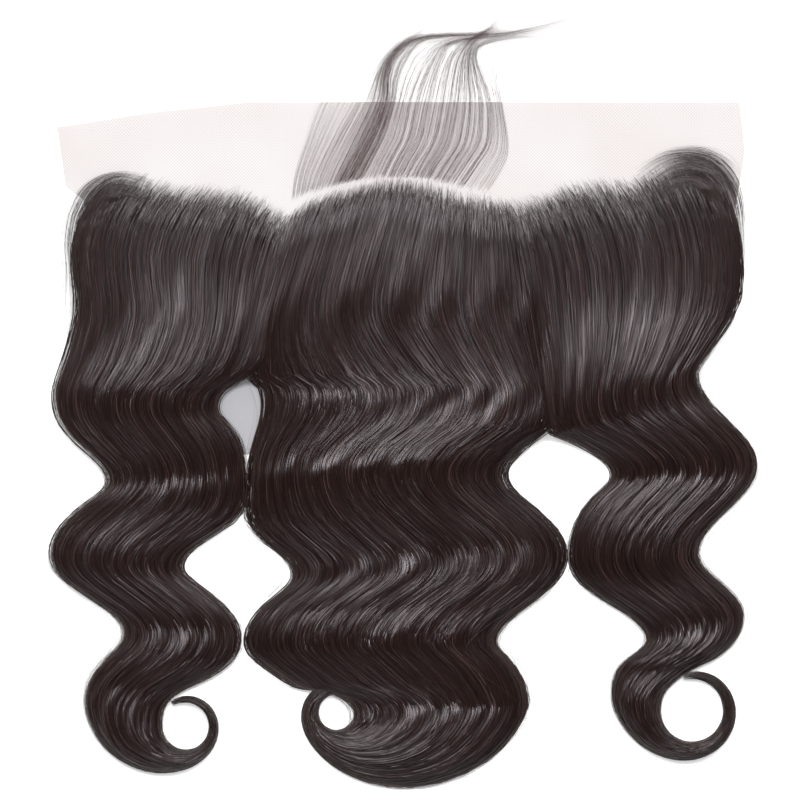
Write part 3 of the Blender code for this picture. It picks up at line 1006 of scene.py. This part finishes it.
def loose_hairs(name, lock, count, seed):
    """Long hairs that follow a lock and stray over its edges."""
    rng = np.random.default_rng(seed)
    share = np.linspace(0, 1, LOOSE_STEPS)[None]
    last = len(lock.frames) - 1
    begin = rng.uniform(6, 0.8 * last, count)[:, None]
    end = begin + rng.uniform(0.12, 0.5, count)[:, None] * last
    along = begin + np.clip(end - begin, 10, last - begin) * share
    edge = rng.random(count) < EDGE_SHARE
    side = rng.integers(0, 2, count)
    near_edge = side + (1 - 2 * side) * rng.uniform(0, 0.05, count)
    root = np.where(edge, near_edge, rng.random(count))
    over_edge = (2 * side - 1) * OVER_EDGE * rng.random(count) ** 1.5
    outward = np.where(edge, over_edge, rng.normal(0, 0.04, count))
    sideways = 0.5 + 0.7 * swing(rng, along, (8, 30), count)
    across = root[:, None] + outward[:, None] * sideways
    left_full, right_full = joined(lock, along)
    across = np.clip(across, -OVER_EDGE - 0.1 * left_full, 1 + OVER_EDGE + 0.1 * right_full)
    points, _ = on_lock(lock, across, along)
    widths = rng.uniform(*LOOSE_WIDTHS, count)[:, None] * tapered(share, (8, 0.3), (4, 0.2))
    tone = toned(rng, 0.35, 0.2, 1, count)
    flat = points[:, :, :2]
    height = resting(flat) + rng.uniform(*LOOSE_LIFTS, count)[:, None]
    tilt = np.radians(rng.normal(0, 30, count))
    return lay_loose(name, flat, height, widths, tone, tilt, loose_finish)


for name, lock, count, seed in (
    ("left_loose_hairs", left_lock, 330, 81),
    ("centre_loose_hairs", centre_lock, 420, 82),
    ("right_loose_hairs", right_lock, 330, 83),
):
    loose = loose_hairs(name, lock, count, seed)
    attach(loose, "root")


# The front wisp: soft baby hair from the arch of the hairline, swept up over the lace and
# off to the right, where it gathers and runs out into three points.

# Where a guide hair passes: its root, up the net, over the net's edge, and round to its tip
Guide = namedtuple("Guide", "root low slope edge rise bend neck reach tip")
WISP_GUIDES = [
    Guide((-52.4, 36), (-50.8, 48.2), (-46.9, 61.5), (-39.7, 82.4), (-30.9, 95.6),
          (-20.5, 106.7), (-7.8, 112.2), (2.1, 115.5), (14.3, 121.5)),
    Guide((-43, 39.4), (-39.2, 50.4), (-32, 64.8), (-22.1, 82.4), (-15.5, 94.5),
          (-8.9, 105.6), (-1.2, 112.7), (13.2, 121), (30.2, 132.5)),
    Guide((-26.5, 44), (-19.9, 56), (-13.3, 69.2), (-7.8, 83.5), (-6.7, 96.7),
          (-1.7, 106.7), (12, 114.4), (51, 116.4), (86, 124.5)),
    Guide((-10, 46.5), (-5.6, 56), (-0.1, 67), (3.2, 82.4), (7.6, 94.5),
          (13.2, 104.5), (22.5, 111.6), (54, 115.2), (92, 120.5)),
    Guide((12.1, 46), (16.5, 53.8), (22.5, 63.7), (26.4, 82.4), (28, 95.6),
          (30.2, 105.6), (35.2, 113.3), (42.9, 119.9), (50.6, 132)),
    Guide((29, 41.5), (37.5, 54), (43.5, 64.8), (43.5, 82.4), (39.1, 95.6),
          (36.3, 104.5), (39.6, 110.5), (60, 114), (95, 112.5)),
    Guide((40.7, 39), (47.9, 50.4), (51.5, 61.5), (48.4, 82.4), (46.4, 94.5),
          (46.8, 103.3), (52.8, 110), (72.7, 110.6), (105.7, 103.9)),
]
WISP_HAIRS = 980
WISP_STEPS = 28
# The share of the wisp's hairs that lie left of each guide
WISP_SHARES = [0, 0.13, 0.32, 0.47, 0.73, 0.94, 1]
# Some hairs cling together in tufts
WISP_TUFTS = 64
TUFTED_SHARE = 0.2
# Others lie close together at its heart, and nearly half of those run out along a guide
HEART_SHARE = 0.12
HEART_AT, HEART_SPREAD = 1.95, 0.22
HEART_LEAVES, HEART_TO = 0.45, 1
# Where, as shares of their length, the hairs start to gather at the guides, and over what
GATHERS_FROM, GATHERS_OVER = 0.58, 0.3
WISP_WIDTHS = (0.035, 0.065)
WISP_LIFTS = (0.25, 1.6)
BABY_HAIR = (0.035, 0.015, 0.014), (0.1, 0.052, 0.05), (0.22, 0.14, 0.135), 0.45

wisp_finish = hair_finish("baby_hair", *BABY_HAIR)


def front_wisp(count, seed):
    """Baby hair between the guides, which spreads over the net and gathers at its tips."""
    rng = np.random.default_rng(seed)
    curves = smooth_through(np.array(WISP_GUIDES, float), 4 * WISP_STEPS)
    tufts = (np.arange(WISP_TUFTS) + rng.random(WISP_TUFTS)) / WISP_TUFTS
    tuft = rng.integers(0, WISP_TUFTS, count)
    close = rng.random(count) < TUFTED_SHARE
    even = even_shares(rng, count)
    root = np.where(close, tufts[tuft] + rng.normal(0, 0.003, count), even)
    root = np.interp(root, WISP_SHARES, range(len(WISP_SHARES)))
    heart = rng.random(count) < HEART_SHARE
    root = np.where(heart, rng.normal(HEART_AT, HEART_SPREAD, count), root)
    guide = np.clip(np.round(root), 0, len(WISP_GUIDES) - 1)
    guide = np.where(heart & (rng.random(count) < HEART_LEAVES), HEART_TO, guide)
    share = np.linspace(0, 1, 4 * WISP_STEPS)[None]
    gathered = np.clip((share - GATHERS_FROM) / GATHERS_OVER, 0, 1)
    drawn = np.where(heart, 0.95, 0.95 - 0.85 * rng.random(count))[:, None]
    apart = 1 - drawn * gathered**2 * (3 - 2 * gathered)
    place = guide[:, None] + (root - guide)[:, None] * apart
    lines = between_guides(curves, place)
    wander = rng.normal(0, 0.8, (2, count, 1)) * np.where(close, 0.4, 1)[None, :, None]
    phase = rng.uniform(0, FULL_TURN, (2, count, 1))
    pace = rng.uniform(2, 6, (2, count, 1))
    grown = 0.8 + 1.5 * share**2
    for k in range(2):
        lines[:, :, k] += wander[k] * np.sin(share * pace[k] + phase[k]) * grown
    # Most run nearly to the tips. On the left most end early, where the wisp turns.
    kept = 1 - 0.4 * rng.random(count) ** 2.5
    short = (root < 1.3) & (rng.random(count) < 0.7)
    kept = np.where(short, rng.uniform(0.3, 0.62, count), kept)
    begin = 0.04 * rng.random(count)
    lines = cut_short(lines[:, ::-1], 1 - begin, 4 * WISP_STEPS)[:, ::-1]
    flat = cut_short(lines, kept, WISP_STEPS)
    ends = np.linspace(0, 1, WISP_STEPS)[None]
    # The hairs lie over the net as far as its front edge, and past it on the table
    over = np.clip((LACE_FRONT_Y[-1] + 3 - flat[:, :, 1]) / 6, 0, 1)
    height = rng.uniform(*WISP_LIFTS, count)[:, None] + over * 1.1
    height *= np.clip(ends * 6 + 0.4, 0, 1)
    tilt = np.radians(rng.normal(0, 25, count))
    # They are finer on the left
    width = rng.uniform(*WISP_WIDTHS, count) * np.clip(0.35 + 0.3 * root, 0.6, 1)
    widths = width[:, None] * np.clip((1 - ends) * 3, 0.25, 1)
    tone = toned(rng, 0.3, 0.18, 0.9, count)
    return lay_loose("front_wisp_hair", flat, height, widths, tone, tilt, wisp_finish)


wisp = front_wisp(WISP_HAIRS, 61)
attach(wisp, "root")
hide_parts("front_wisp")


# The stage: a white light table, two soft lights in front of the hairpiece that draw the
# bands of sheen across its waves, a weaker one behind it, and a long lens straight above.

TABLE_HALF = 15
TABLE_GLOW = 0.5
TABLE_UNDER = 0.0002
WORLD_GLOW = 0.08
# The camera's place, and how wide a piece of the table it frames, in metres
CAMERA_PLACE = (-0.0005, -0.060, 2.5)
FRAME_WIDTH = 0.384
# A soft light's place and size in metres, and its power in watts
Softbox = namedtuple("Softbox", "name place size power")
SOFTBOXES = [
    Softbox("front_softbox", (0, 1.05, 2.35), (2.4, 0.6), 74),
    Softbox("low_front_softbox", (0, 2.6, 1.3), (3.0, 1.0), 20),
    Softbox("low_back_softbox", (0, -2.6, 1.3), (3.0, 1.0), 16),
]
LIGHTS_AIM = (0, -0.06, 0)

table_finish, table_shader = start_material("white_table")
feed(
    table_shader, Base_Color=(0.95, 0.95, 0.95, 1), Roughness=0.9,
    Emission_Color=(1, 1, 1, 1), Emission_Strength=TABLE_GLOW,
)
table_corners = np.array([[-1, -1, 0], [1, -1, 0], [1, 1, 0], [-1, 1, 0]]) * TABLE_HALF
table = add_mesh("floor", table_corners, np.array([[0, 1, 2, 3]]), table_finish)
table.location.z = -TABLE_UNDER

for softbox in SOFTBOXES:
    light = bpy.data.lights.new(softbox.name, "AREA")
    light.shape = "RECTANGLE"
    light.size, light.size_y = softbox.size
    light.energy = softbox.power
    hung = bpy.data.objects.new(softbox.name, light)
    hung.location = softbox.place
    away = np.array(softbox.place) - np.array(LIGHTS_AIM)
    tipped = math.atan2(math.hypot(away[0], away[1]), away[2])
    hung.rotation_euler = (tipped, 0, math.atan2(away[0], -away[1]))
    bpy.context.collection.objects.link(hung)

world = bpy.data.worlds.new("studio")
world.use_nodes = True
feed(world.node_tree.nodes["Background"], Color=(1, 1, 1, 1), Strength=WORLD_GLOW)
bpy.context.scene.world = world
bpy.context.scene.view_settings.view_transform = "Standard"

lens = bpy.data.cameras.new("camera")
lens.sensor_width = 36
lens.lens = lens.sensor_width * CAMERA_PLACE[2] / FRAME_WIDTH
camera = bpy.data.objects.new("camera", lens)
camera.location = CAMERA_PLACE
bpy.context.collection.objects.link(camera)
bpy.context.scene.camera = camera
